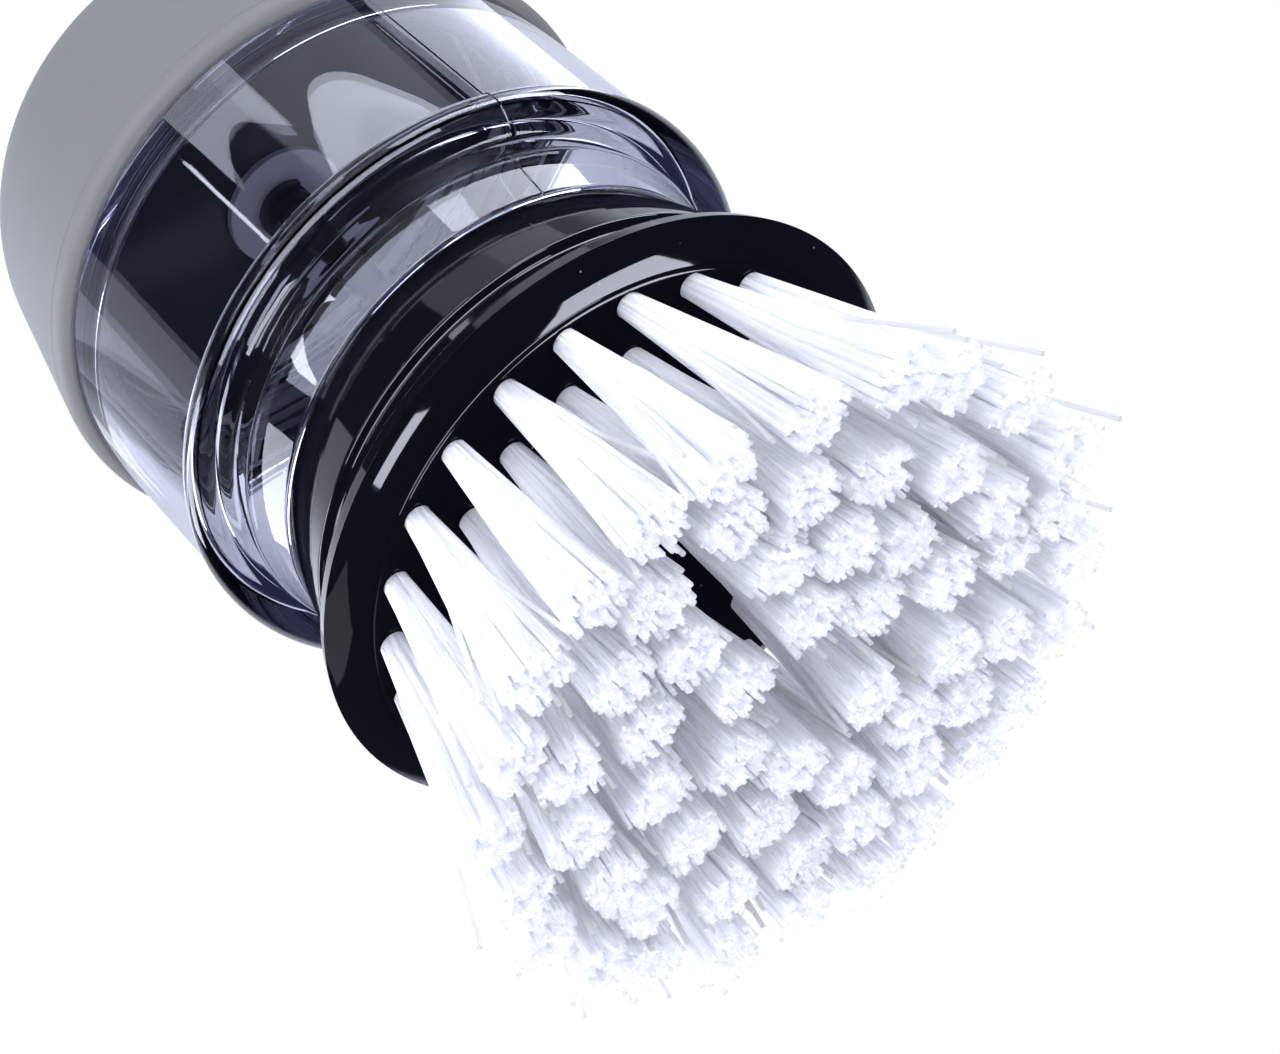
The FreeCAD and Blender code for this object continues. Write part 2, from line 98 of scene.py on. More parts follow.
spring_low, spring_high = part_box("return_spring")
_, closure_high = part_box("cap_closure")


def size(description, millimetres):
    """Length that a user can change."""
    return bpy.props.FloatProperty(
        description=description, default=millimetres * MM, unit="LENGTH", precision=5
    )


def turn(description, degrees):
    """Angle that a user can change."""
    return bpy.props.FloatProperty(description=description, default=math.radians(degrees), unit="ROTATION")


def tint(description, colour):
    """Colour that a user can change."""
    return bpy.props.FloatVectorProperty(
        description=description, default=colour, size=3, min=0, max=1, subtype="COLOR"
    )


def amount(description, value):
    """Plain factor that a user can change."""
    return bpy.props.FloatProperty(description=description, default=value, min=0, subtype="FACTOR")


def count(description, number):
    """Whole number that a user can change."""
    return bpy.props.IntProperty(description=description, default=number, min=1)


class ThreadSizes(bpy.types.PropertyGroup):
    """Screw threads of the neck and the mouth."""

    lead: size("Rise of a thread in one turn", 4.0)
    height: size("How far a ridge stands from its wall", 1.0)
    root: size("Width of a ridge where it leaves the wall", 1.6)
    crest: size("Width of a ridge at its crest", 0.8)
    margin: size("Ridge ends to the ends of the threaded length", 1.0)
    sink: size("How deep a ridge is rooted in its wall", 0.3)
    gap: size("Clearance between closing faces", 0.3)


class HeadSizes(bpy.types.PropertyGroup):
    """Brush head and tuft disc."""

    flange_radius: size("Radius at the parting line", head_high.x / MM)
    underside_rise: size("Disc edge up to the parting line", 2.1)
    underside_crown: size("Swell of the underside past a straight cone", 0.35)
    flash: size("Fine moulding ridge at the parting line", 0.07)
    edge_band: size("Height of the flange's edge", 1.9)
    edge_draft: size("How much narrower the edge is at its top", 0.57)
    overhang: size("Flange edge to the collar's foot", 3.4)
    groove_depth: size("Undercut below the collar's foot", 0.6)
    groove_width: size("Height of the undercut", 3.1)
    groove_dip: size("How much lower the groove's inner corner is than its edge", 0.3)
    groove_web: size("Disc's top to the groove", 1.55)
    collar_flare: size("How much wider the collar is at its foot", 2.25)
    collar_wall: size("Wall at the collar's rim", 1.15)
    web: size("Thickness above the tuft disc", 2.8)
    opening: size("Radius of the opening in the partition", 9.7)
    outlet: size("Radius of the outlet in the disc", 3.5)
    press_gap: size("Clearance of the disc in the head", 0.02)
    black: tint("Moulded gloss black", (0.0058, 0.0064, 0.0098))


class BristleSizes(bpy.types.PropertyGroup):
    """Rings of tufts and their filaments."""

    edge_margin: size("Disc edge to the outer ring of holes", 2.05)
    core_margin: size("Outlet edge to the core ring of holes", 4.5)
    splay: turn("Outward lean of the outer ring", 10.6)
    hole_radius: size("Radius of a tuft's hole", 1.5)
    hole_depth: size("Depth of a tuft's hole", 4.0)
    rim_wire: size("Section of the moulding flash round a hole", 0.13)
    filaments: count("Filament ends in a tuft", 112)
    filament_radius: size("Half a filament's thickness", 0.265)
    fan: amount("Width of a tuft's end over its root", 2.9)
    uneven: size("How far ends of one tuft differ", 1.5)
    tuft_uneven: size("How far whole tufts differ", 0.7)
    trim_tilt: size("How much shorter the tufts are at -X than at +X", 1.8)
    waver: size("Sideways drift of a filament's end", 0.22)
    lobe: amount("How far a tuft's end is drawn out of round", 0.16)
    clump: size("Sideways drift of a whole tuft's end", 0.8)
    stray_share: amount("Share of filaments that stand out of their tuft", 0.03)
    stray: size("Sideways reach of a stray filament", 3.4)
    seed: count("Start of the random draws", 11)
    white: tint("Filament colour", (0.94, 0.945, 0.965))
    shade: tint("Darker filaments", (0.91, 0.915, 0.94))


class TankSizes(bpy.types.PropertyGroup):
    """Clear soap tank."""

    wall: size("Thickness of the tank", 2.5)
    waist_height: size("Collar rim up to the bulge", 6.35)
    waist_flare: size("How much wider the waist is at its top", 1.0)
    shoulder_width: size("Waist out to the plain wall", 4.1)
    bulge_rise: size("Underside of the bulge to its widest ring", 3.5)
    bulge_fall: size("Widest ring up to the plain wall", 1.65)
    ring_lift: size("Bulge's underside up to where the inside steps out", 3.2)
    step_depth: size("Fine moulded steps inside the bulge", 0.12)
    wall_height: size("Bulge up to the shoulder", 23.4)
    mouth_inset: size("Plain wall in to the mouth", 3.6)
    floor_drop: size("Collar rim down to the floor", 0.6)
    floor: size("Thickness of the floor", 2.4)
    spout_drop: size("Floor's underside down to the spout's end", 3.85)
    spout_bore: size("Radius of the spout's bore", 4.2)
    spout_wall: size("Wall of the spout", 2.3)
    guide_radius: size("Radius of the guide's seat", 7.02)
    guide_seat: size("Depth of the guide's seat", 1.2)
    seam_angle: turn("Angle of the mould's parting plane about the axis", -50.0)
    seam_height: size("How far the seam stands out", 0.1)
    seam_width: size("Half the seam's width", 0.12)
    clear: tint("Surface colour", (0.97, 0.97, 0.99))
    depth_tint: tint("Colour taken on in the thickness", (0.25, 0.28, 0.57))
    depth_density: amount("How fast the tint builds up, per metre", 45.0)


class CapSizes(bpy.types.PropertyGroup):
    """Grey cap and its press button."""

    lip_overlap: size("Lip's lower edge past the tank's wall", 0.15)
    lip_proud: size("Lip's widest line past the tank's wall", 1.17)
    lip_height: size("Lower edge up to the widest line", 2.3)
    lip_line: size("Depth of the fine line round the lip", 0.1)
    taper: turn("How far the side leans in", 11.2)
    crown_round: size("Radius between the side and the crown", 16.0)
    wall: size("Thickness of the cap", 2.0)
    press_gap: size("Clearance of the closure in the cap", 0.02)
    ledge_depth: size("Rib that the closure seats against", 1.55)
    ledge_height: size("Height of that rib", 1.2)
    well_wall: size("Wall of the button's well", 1.6)
    well_depth: size("Depth of the button's well", 7.0)
    button_gap: size("Clearance round the button", 0.35)
    button_wall: size("Thickness of the button's top", 2.0)
    grey: tint("Matte grey of the cap", (0.338, 0.342, 0.356))
    # Painted shading: the lip is the same grey plastic, given a warmer grey for how light falls on it.
    lip_painted_shading_grey: tint("Warmer grey of the lip", (0.335, 0.335, 0.345))
    button_grey: tint("Soft button", (0.29, 0.30, 0.33))


class SpringSizes(bpy.types.PropertyGroup):
    """Return spring of the valve."""

    wire: size("Thickness of the wire", 0.8)
    turns: count("Turns of the coil", 6)
    stroke: size("How far the stem presses the spring", 4.01)


class StageSizes(bpy.types.PropertyGroup):
    """Camera, lamps and floor."""

    lens: bpy.props.FloatProperty(description="Focal length in millimetres", default=85.0)
    distance: size("Camera to the middle of the flange", 293.26)
    elevation: turn("Camera's height angle", -38.25)
    roll: turn("Turn of the picture about the view axis", -46.98)
    aim_right: size("Middle of the flange from the picture's middle", -2.03)
    aim_up: size("Middle of the flange from the picture's middle", 0.94)
    floor_size: size("Width of the floor", 3000.0)
    floor_middle: size("Reach of the floor's full colour", 120.0)
    floor_end: size("Reach at which the floor has faded out", 500.0)
    fill: amount("Even light from all round and above", 0.86)
    fill_below: amount("Even light from straight below", 0.56)
    cast: tint("Tint of the soft light on matte surfaces", (0.90, 0.93, 1.0))
    gleam: tint("Tint of what gloss mirrors", (0.82, 0.87, 1.0))
    dusk: tint("Colour that gloss mirrors away from the white wall", (0.022, 0.026, 0.055))


GROUPS = {
    "brush_thread": ThreadSizes,
    "brush_head": HeadSizes,
    "brush_bristles": BristleSizes,
    "brush_tank": TankSizes,
    "brush_cap": CapSizes,
    "brush_spring": SpringSizes,
    "brush_stage": StageSizes,
}


# Modelling helpers


def clear_selection():
    """Object mode with nothing selected, because the operators act on all that is."""
    if bpy.context.mode != "OBJECT":
        bpy.ops.object.mode_set(mode="OBJECT")
    bpy.ops.object.select_all(action="DESELECT")


def take(piece):
    """Makes a piece the only selected and active object."""
    clear_selection()
    piece.select_set(True)
    bpy.context.view_layer.objects.active = piece


def arc(start, through, end, steps):
    """Points after the start on the arc through three (radius, height) points."""
    (ax, ay), (bx, by), (cx, cy) = start, through, end
    twice = 2 * (ax * (by - cy) + bx * (cy - ay) + cx * (ay - by))
    squares = [x * x + y * y for x, y in (start, through, end)]
    mid_x = (squares[0] * (by - cy) + squares[1] * (cy - ay) + squares[2] * (ay - by)) / twice
    mid_y = (squares[0] * (cx - bx) + squares[1] * (ax - cx) + squares[2] * (bx - ax)) / twice
    radius = math.hypot(ax - mid_x, ay - mid_y)
    angles = [math.atan2(y - mid_y, x - mid_x) for x, y in (start, through, end)]
    sweep = (angles[2] - angles[0]) % (2 * math.pi)
    if (angles[1] - angles[0]) % (2 * math.pi) > sweep:
        sweep -= 2 * math.pi
    return [
        (mid_x + radius * math.cos(angles[0] + sweep * step / steps),
         mid_y + radius * math.sin(angles[0] + sweep * step / steps))
        for step in range(1, steps + 1)
    ]


def softened(corners, steps=5):
    """Closed outline from (radius, height, round) corners, each eased by a curve as wide as its round."""
    points = []
    for number, corner in enumerate(corners):
        here = Vector(corner[:2])
        ease = corner[2] if len(corner) > 2 else 0
        if not ease:
            points.append(tuple(here))
            continue
        before = Vector(corners[number - 1][:2]) - here
        after = Vector(corners[(number + 1) % len(corners)][:2]) - here
        reach = min(ease, ROUND_SHARE * before.length, ROUND_SHARE * after.length)
        first = here + before.normalized() * reach
        last = here + after.normalized() * reach
        for step in range(steps + 1):
            share = step / steps
            points.append(tuple(first.lerp(here, share).lerp(here.lerp(last, share), share)))
    return points


def stepped(points, depth):
    """Points with a fine ripple across them, as moulded steps; the last point stays."""
    ripple = [depth * math.sin(number * math.pi / 3) for number in range(len(points) - 1)] + [0]
    return [(x + shift, y) for shift, (x, y) in zip(ripple, points)]


def part_way(start, end, across, up):
    """Point at a share of the way across and a share of the way up between two (radius, height) points."""
    return start[0] + across * (end[0] - start[0]), start[1] + up * (end[1] - start[1])


def braced(outline):
    """Outline with points near the ends of long straight runs, so that smooth shading stays true on them."""
    points = []
    for number, here in enumerate(outline):
        start = Vector(here)
        run = Vector(outline[(number + 1) % len(outline)]) - start
        points.append(tuple(start))
        if run.length > LONG_RUN:
            points.append(tuple(start + run.normalized() * BRACE))
            points.append(tuple(start + run - run.normalized() * BRACE))
    return points


def spun(name, outline):
    """Piece turned about Z from a closed outline: one vertex drawn along the outline, then spun."""
    outline = braced(outline)
    clear_selection()
    bpy.ops.mesh.primitive_plane_add(size=MM, location=(0, 0, 0))
    piece = bpy.context.object
    piece.name = name
    piece.data.name = name
    edit_all()
    bpy.ops.mesh.merge(type="CENTER")
    here = Vector((0, 0, 0))
    for number, (radius, height) in enumerate(list(outline) + [outline[0]]):
        step = Vector((radius, 0, height)) - here
        if number == 0:
            bpy.ops.transform.translate(value=step)
        else:
            bpy.ops.mesh.extrude_vertices_move(TRANSFORM_OT_translate={"value": step})
        here = Vector((radius, 0, height))
    bpy.ops.mesh.select_all(action="SELECT")
    bpy.ops.mesh.remove_doubles(threshold=MERGE)
    bpy.ops.mesh.spin(steps=SPIN_STEPS, angle=2 * math.pi, center=(0, 0, 0), axis=(0, 0, 1))
    mend_mesh()
    return piece


def edit_all():
    """Edit mode with the whole mesh selected."""
    bpy.ops.object.mode_set(mode="EDIT")
    bpy.ops.mesh.select_all(action="SELECT")


def mend_mesh():
    """Merges doubles, turns all faces outwards and leaves edit mode."""
    bpy.ops.mesh.select_all(action="SELECT")
    bpy.ops.mesh.remove_doubles(threshold=MERGE)
    bpy.ops.mesh.normals_make_consistent(inside=False)
    bpy.ops.object.mode_set(mode="OBJECT")


def combine(piece, tool, operation):
    """Applies a boolean of a piece with a tool, and deletes the tool."""
    take(piece)
    bpy.ops.object.modifier_add(type="BOOLEAN")
    step = piece.modifiers[-1]
    step.operation = operation
    step.solver = "EXACT"
    step.object = tool
    bpy.ops.object.modifier_apply(modifier=step.name)
    bpy.data.objects.remove(tool)


def join(pieces):
    """Joins pieces into the first one, with its place in its mesh."""
    clear_selection()
    for piece in pieces:
        piece.select_set(True)
    bpy.context.view_layer.objects.active = pieces[0]
    bpy.ops.object.join()
    bpy.ops.object.transform_apply(location=True, rotation=True, scale=True)
    return pieces[0]


def add_thread(piece, wall, outward, low, high, raised):
    """Winds a helical ridge between two heights, out of a piece's wall or into its bore.

    A raised ridge starts half a lead higher, so that it runs between the turns of its partner.
    """
    thread = bpy.context.scene.brush_thread
    level = low + thread.margin
    turns = (high - thread.margin - level - thread.lead / 2) / thread.lead
    if raised:
        level += thread.lead / 2
    side = 1 if outward else -1
    root = wall - side * thread.sink
    crest = wall + side * thread.height
    clear_selection()
    bpy.ops.mesh.primitive_plane_add(size=2 * MM, location=(0, 0, 0))
    ridge = bpy.context.object
    below = [(root, -thread.root / 2), (crest, -thread.crest / 2)]
    places = below + [(radius, -height) for radius, height in below]
    for vertex, (radius, height) in zip(ridge.data.vertices, places):
        vertex.co = (radius, 0, level + height)
    bpy.ops.object.modifier_add(type="SCREW")
    winding = ridge.modifiers[-1]
    winding.angle = 2 * math.pi * turns
    winding.screw_offset = thread.lead * turns
    winding.steps = winding.render_steps = int(THREAD_STEPS * turns)
    edit_all()
    bpy.ops.mesh.delete(type="ONLY_FACE")
    bpy.ops.object.mode_set(mode="OBJECT")
    bpy.ops.object.modifier_apply(modifier=winding.name)
    edit_all()
    bpy.ops.mesh.fill_holes(sides=4)
    mend_mesh()
    combine(piece, ridge, "UNION")


def finish_piece(piece, finish, body, nodes, smooth=35):
    """Smooths a piece below an angle in degrees, gives it its finish and its body, and hides the CAD nodes
    that it stands in for.
    """
    if not piece.data.polygons:
        raise RuntimeError(piece.name + " has no faces")
    take(piece)
    bpy.ops.object.shade_smooth_by_angle(angle=math.radians(smooth))
    piece.data.materials.clear()
    piece.data.materials.append(finish)
    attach(piece, body)
    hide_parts(*nodes)


# Finishes


class Nodes:
    """Node tree under construction."""

    def __init__(self, tree):
        self.tree = tree

    def feed(self, socket, value):
        """Sets a socket, or links it where the value is another node's socket."""
        if isinstance(value, bpy.types.NodeSocket):
            self.tree.links.new(value, socket)
        else:
            socket.default_value = value

    def node(self, kind, **inputs):
        """New node with some inputs set or linked."""
        node = self.tree.nodes.new(kind)
        for socket, value in inputs.items():
            self.feed(node.inputs[socket.replace("_", " ")], value)
        return node

    def maths(self, kind, operation, *values):
        """New maths node with its first inputs set or linked."""
        node = self.tree.nodes.new(kind)
        node.operation = operation
        for socket, value in zip(node.inputs, values):
            self.feed(socket, value)
        return node

    def between(self, factor, low, high, start=0.0, end=1.0, blend="LINEAR"):
        """Number that runs from low to high as a factor runs from start to end."""
        node = self.node(
            "ShaderNodeMapRange", Value=factor, From_Min=start, From_Max=end, To_Min=low, To_Max=high
        )
        node.interpolation_type = blend
        return node.outputs["Result"]

    def mix(self, factor, first, second):
        """Colour between two colours or sockets."""
        node = self.tree.nodes.new("ShaderNodeMix")
        node.data_type = "RGBA"
        self.feed(node.inputs["Factor"], factor)
        for socket, colour in (("A", first), ("B", second)):
            linked = isinstance(colour, bpy.types.NodeSocket)
            self.feed(node.inputs[socket], colour if linked else (*colour, 1))
        return node.outputs["Result"]


class Finish(Nodes):
    """Material under construction: a Principled shader fed by textures on Object coordinates."""

    def __init__(self, name, colour, roughness, **plain):
        self.material = bpy.data.materials.new(name)
        self.material.use_nodes = True
        super().__init__(self.material.node_tree)
        self.shader = self.tree.nodes["Principled BSDF"]
        self.coordinates = self.tree.nodes.new("ShaderNodeTexCoord").outputs["Object"]
        self.colour((*colour, 1))
        self.shader.inputs["Roughness"].default_value = roughness
        for socket, value in plain.items():
            self.shader.inputs[socket.replace("_", " ")].default_value = value

    def colour(self, value):
        """Sets or links the surface colour."""
        self.feed(self.shader.inputs["Base Color"], value)

    def sheen(self, factor, low, high, start=0.0, end=1.0):
        """Roughness that runs from low to high as a factor runs from start to end."""
        self.feed(self.shader.inputs["Roughness"], self.between(factor, low, high, start, end))

    def noise(self, grain, detail=4.0, stretch=(1, 1, 1)):
        """Noise whose blotches are about one grain across."""
        place = self.node("ShaderNodeMapping", Vector=self.coordinates, Scale=stretch)
        noise = self.node("ShaderNodeTexNoise", Vector=place.outputs[0], Scale=1 / grain, Detail=detail)
        return noise.outputs["Fac"]

    def height(self):
        """Height above the bristle ends."""
        return self.node("ShaderNodeSeparateXYZ", Vector=self.coordinates).outputs["Z"]

    def specks(self, spacing, reach):
        """Sparse round specks, such as dust: 1 on a speck, 0 elsewhere."""
        cells = self.node("ShaderNodeTexVoronoi", Vector=self.coordinates, Scale=1 / spacing)
        edge = reach / spacing
        return self.between(cells.outputs["Distance"], 1.0, 0.0, start=0.6 * edge, end=edge)

    def mottle(self, factor, colour, low, high):
        """Colour that runs from a darker to a lighter share of itself with a factor."""
        return self.mix(factor, darker(colour, low), darker(colour, high))

    def bump(self, factor, depth):
        """Relief of a given depth on the whole surface."""
        node = self.node("ShaderNodeBump", Height=factor, Strength=1.0, Distance=depth)
        self.feed(self.shader.inputs["Normal"], node.outputs["Normal"])


def darker(colour, share):
    """Colour scaled towards black, or past itself by a share above 1."""
    return tuple(channel * share for channel in colour)


def cap_finish():
    """Fine matte grey, with painted shading that gives the lip a warmer grey."""
    cap = bpy.context.scene.brush_cap
    finish = Finish("cap_grey", cap.grey, roughness=0.5, Specular_IOR_Level=0.4)
    lip_start = cap_low.z + 0.9 * cap.lip_height
    lip_end = cap_low.z + 1.1 * cap.lip_height
    # Painted shading: the lip band takes its own warmer grey for how light falls on it.
    painted_lip_shading = finish.between(finish.height(), 1.0, 0.0, start=lip_start, end=lip_end)
    cloud = finish.noise(grain=9 * MM, detail=3)
    body = finish.mottle(cloud, cap.grey, 0.96, 1.05)
    lip = finish.mottle(cloud, cap.lip_painted_shading_grey, 0.95, 1.04)
    finish.colour(finish.mix(painted_lip_shading, body, lip))
    grain = finish.noise(grain=0.22 * MM, detail=2)
    finish.sheen(grain, 0.46, 0.62)
    finish.bump(grain, depth=0.012 * MM)
    return finish.material


def button_finish():
    """Soft matte button with a fine grain."""
    colour = bpy.context.scene.brush_cap.button_grey
    finish = Finish("button_grey", colour, roughness=0.6, Specular_IOR_Level=0.35)
    finish.colour(finish.mottle(finish.noise(grain=5 * MM, detail=3), colour, 0.94, 1.06))
    grain = finish.noise(grain=0.18 * MM, detail=2)
    finish.sheen(grain, 0.55, 0.7)
    finish.bump(grain, depth=0.015 * MM)
    return finish.material


def head_finish():
    """Gloss black with faint moulding ripple, smears and a little dust."""
    colour = bpy.context.scene.brush_head.black
    dust_grey = (0.42, 0.43, 0.45)
    finish = Finish("head_black", colour, roughness=0.08, Specular_IOR_Level=0.5)
    dust = finish.specks(spacing=2.6 * MM, reach=0.11 * MM)
    mottle = finish.mottle(finish.noise(grain=14 * MM, detail=2), colour, 0.85, 1.2)
    finish.colour(finish.mix(dust, mottle, dust_grey))
    finish.sheen(finish.noise(grain=5 * MM, detail=5), 0.02, 0.07)
    finish.bump(finish.noise(grain=3.5 * MM, detail=1), depth=0.008 * MM)
    return finish.material


def bristle_finish():
    """White nylon, each filament a little different, with painted shade that greys it towards the root."""
    bristles = bpy.context.scene.brush_bristles
    finish = Finish(
        "bristle_white", bristles.white, roughness=0.6, Specular_IOR_Level=0.12, Subsurface_Weight=1.0,
        Subsurface_Radius=(1.0, 1.0, 1.1), Subsurface_Scale=1.6 * MM,
    )
    finish.shader.subsurface_method = "BURLEY"
    island = finish.node("ShaderNodeNewGeometry").outputs["Random Per Island"]
    # Painted shade: filaments turn greyer towards the root over this reach, where the head shades them.
    painted_root_shade_reach = 5 * MM
    most_painted_root_shade = 0.55
    root = finish.between(finish.height(), 0.0, most_painted_root_shade, start=disc_low.z - painted_root_shade_reach, end=disc_low.z)
    each = finish.mix(finish.between(island, 0.0, 1.0, start=0.7), bristles.white, bristles.shade)
    finish.colour(finish.mix(root, each, darker(bristles.shade, 0.8)))
    streaks = finish.noise(grain=1.2 * MM, detail=2, stretch=(1, 1, 0.1))
    finish.sheen(streaks, 0.5, 0.68)
    return finish.material


def tank_finish():
    """Clear moulded plastic that takes on a violet tint in its thickness."""
    tank = bpy.context.scene.brush_tank
    finish = Finish("tank_clear", tank.clear, roughness=0.0, IOR=1.5, Transmission_Weight=1.0)
    haze = finish.noise(grain=7 * MM, detail=4)
    finish.sheen(haze, 0.0, 0.05, start=0.45, end=0.8)
    finish.bump(finish.noise(grain=11 * MM, detail=1), depth=0.02 * MM)
    colour = (*tank.depth_tint, 1)
    depth = finish.node("ShaderNodeVolumeAbsorption", Color=colour, Density=tank.depth_density)
    finish.feed(finish.tree.nodes["Material Output"].inputs["Volume"], depth.outputs["Volume"])
    return finish.material


def moulded_finish(name, colour, roughness, grain):
    """Plain moulded plastic: faint mottle, uneven sheen and a moulded grain."""
    finish = Finish(name, colour, roughness, Specular_IOR_Level=0.45)
    finish.colour(finish.mottle(finish.noise(grain=6 * MM, detail=3), colour, 0.9, 1.1))
    finish.sheen(finish.noise(grain=2 * MM), 0.8 * roughness, 1.25 * roughness)
    finish.bump(finish.noise(grain, detail=2), depth=0.012 * grain)
    return finish.material


def silicone_finish():
    """Milky soft seal with a powdery grain."""
    finish = Finish("seal_silicone", (0.55, 0.56, 0.6), roughness=0.55, Transmission_Weight=0.25, IOR=1.41)
    finish.colour(finish.mix(finish.noise(grain=3 * MM, detail=3), (0.50, 0.51, 0.55), (0.60, 0.61, 0.65)))
    finish.sheen(finish.noise(grain=0.6 * MM, detail=3), 0.45, 0.65)
    finish.bump(finish.noise(grain=0.4 * MM, detail=2), depth=0.01 * MM)
    return finish.material


def steel_finish():
    """Drawn stainless wire with fine lines and a dull patina."""
    finish = Finish("spring_steel", (0.6, 0.6, 0.62), roughness=0.25, Metallic=1.0)
    finish.colour(finish.mix(finish.noise(grain=1.5 * MM), (0.48, 0.48, 0.50), (0.68, 0.68, 0.70)))
    lines = finish.noise(grain=0.3 * MM, detail=3, stretch=(1, 1, 6))
    finish.sheen(lines, 0.18, 0.36)
    finish.bump(lines, depth=0.006 * MM)
    return finish.material


# Operators


class BRUSH_OT_head(bpy.types.Operator):
    """Models the black head: rounded underside, flange, undercut groove and flared collar"""

    bl_idname = "brush.head"
    bl_label = "Brush Head"

    def execute(self, context):
        head = context.scene.brush_head
        recess = disc_high.x + head.press_gap
        rim = head_low.z
        parting = rim + head.underside_rise
        swell = head.underside_crown / math.sqrt(2)
        middle = ((recess + head.flange_radius) / 2 + swell, (rim + parting) / 2 - swell)
        groove = disc_high.z + head.groove_web
        foot = groove + head.groove_width
        collar_foot = head.flange_radius - head.overhang
        groove_radius = collar_foot - head.groove_depth
        collar_top = collar_foot - head.collar_flare
        bore = collar_top - head.collar_wall
        web_top = disc_high.z + head.web
        underside = arc((recess, rim), middle, (head.flange_radius, parting - head.flash), 14)
        outline = softened([
            (head.opening, disc_high.z, 0.3 * MM),
            (recess, disc_high.z),
            (recess, rim),
            *underside,
            (head.flange_radius + head.flash, parting),
            (head.flange_radius, parting + head.flash),
            (head.flange_radius - head.edge_draft, parting + head.edge_band, 0.5 * MM),
            (groove_radius, groove - head.groove_dip, 0.8 * MM),
            (groove_radius, foot - head.groove_depth, 0.4 * MM),
            (collar_foot, foot, 0.5 * MM),
            (collar_top, head_high.z, 0.4 * MM),
            (bore, head_high.z, 0.3 * MM),
            (bore, web_top, 0.5 * MM),
            (head.opening, web_top, 0.5 * MM),
        ])
        piece = spun("head_shell_gloss", outline)
        add_thread(piece, bore, False, tank_low.z, head_high.z, raised=True)
        finish_piece(piece, head_finish(), "head", ["head_shell"])
        return {"FINISHED"}


# Each ring's node and the angle of its first tuft, in degrees from +X
RINGS = (("tufts_outer", 2.8), ("tufts_middle", 3.4), ("tufts_inner", 15.0), ("tufts_core", 0.0))


def ring_places(index):
    """Mouth, tuft direction and angle of each hole of a ring, counted from the outer ring in."""
    bristles = bpy.context.scene.brush_bristles
    outer = disc_high.x - bristles.edge_margin
    core = bpy.context.scene.brush_head.outlet + bristles.core_margin
    radius = outer + (core - outer) * index / (len(RINGS) - 1)
    lean = bristles.splay * radius / outer
    number = RING_GROWTH * (len(RINGS) - index)
    places = []
    for tuft in range(number):
        angle = math.radians(RINGS[index][1]) + tuft * 2 * math.pi / number
        outward = Vector((math.cos(angle), math.sin(angle), 0))
        mouth = outward * radius + Vector((0, 0, disc_low.z))
        places.append((mouth, outward * math.sin(lean) - Vector((0, 0, math.cos(lean))), angle))
    return places


class BRUSH_OT_disc(bpy.types.Operator):
    """Models the tuft disc with a drilled hole and a fine rim of flash for each tuft"""

    bl_idname = "brush.disc"
    bl_label = "Tuft Disc"

    def execute(self, context):
        head = context.scene.brush_head
        bristles = context.scene.brush_bristles
        outline = softened([
            (head.outlet, disc_low.z, 0.4 * MM),
            (disc_high.x, disc_low.z, 0.5 * MM),
            (disc_high.x, disc_high.z),
            (head.outlet, disc_high.z, 0.3 * MM),
        ])
        piece = spun("tuft_disc_gloss", outline)
        rim_radius = bristles.hole_radius + 0.3 * bristles.rim_wire
        rim_tilt = (-0.06, 0.06)
        drills = []
        rims = []
        draw = random.Random(bristles.seed)
        for index in range(len(RINGS)):
            for mouth, out, angle in ring_places(index):
                facing = out.to_track_quat("Z", "Y").to_euler()
                clear_selection()
                bpy.ops.mesh.primitive_cylinder_add(
                    vertices=HOLE_STEPS, radius=bristles.hole_radius, depth=2 * bristles.hole_depth,
                    location=mouth, rotation=facing,
                )
                drills.append(bpy.context.object)
                bpy.ops.mesh.primitive_torus_add(
                    major_radius=rim_radius, minor_radius=bristles.rim_wire,
                    major_segments=HOLE_STEPS, minor_segments=6, location=mouth,
                    rotation=(draw.uniform(*rim_tilt), draw.uniform(*rim_tilt), angle),
                )
                rims.append(bpy.context.object)
        combine(piece, join(drills), "DIFFERENCE")
        join([piece] + rims)
        finish_piece(piece, head_finish(), "head", ["tuft_disc"])
        return {"FINISHED"}


def tuft_filaments(mouth, out, draw):
    """Centre lines of one tuft's filaments, from inside the hole to their uneven cut ends."""
    bristles = bpy.context.scene.brush_bristles
    side = out.cross(Vector((0, 0, 1))).normalized()
    other = out.cross(side)
    root_radius = bristles.hole_radius - 1.4 * bristles.filament_radius
    turn_jitter = (-0.2, 0.2)
    fan_jitter = (0.94, 1.05)
    stray_jitter = (0.3, 1.0)
    golden = math.pi * (3 - math.sqrt(5))
    tilt = bristles.trim_tilt * (1 - mouth.x / disc_high.x) / 2
    tuft_end = tilt + draw.uniform(0, bristles.tuft_uneven)
    drift = (side * draw.gauss(0, 1) + other * draw.gauss(0, 1)) * bristles.clump
    phase = draw.uniform(0, 2 * math.pi)
    lines = []
    for number in range(bristles.filaments):
        share = math.sqrt((number + 0.5) / bristles.filaments)
        angle = number * golden + draw.uniform(*turn_jitter)
        across = side * math.cos(angle) + other * math.sin(angle)
        root = across * share * root_radius
        lobes = 1 + bristles.lobe * math.sin(3 * angle + phase)
        spread = across * share * root_radius * (bristles.fan - 1) * lobes * draw.uniform(*fan_jitter)
        bend = drift + (side * draw.gauss(0, 1) + other * draw.gauss(0, 1)) * bristles.waver
        if draw.random() < bristles.stray_share:
            bend += across * draw.uniform(*stray_jitter) * bristles.stray
        end_height = tuft_end + draw.uniform(0, bristles.uneven) * draw.random()
        length = (mouth.z + (root + spread + bend).z - end_height) / -out.z
        line = [mouth + root - out * ROOT_DEPTH]
        for along in (0.0, 0.5, 1.0):
            line.append(mouth + out * length * along + root + spread * along + bend * along * along)
        lines.append(line)
    return lines


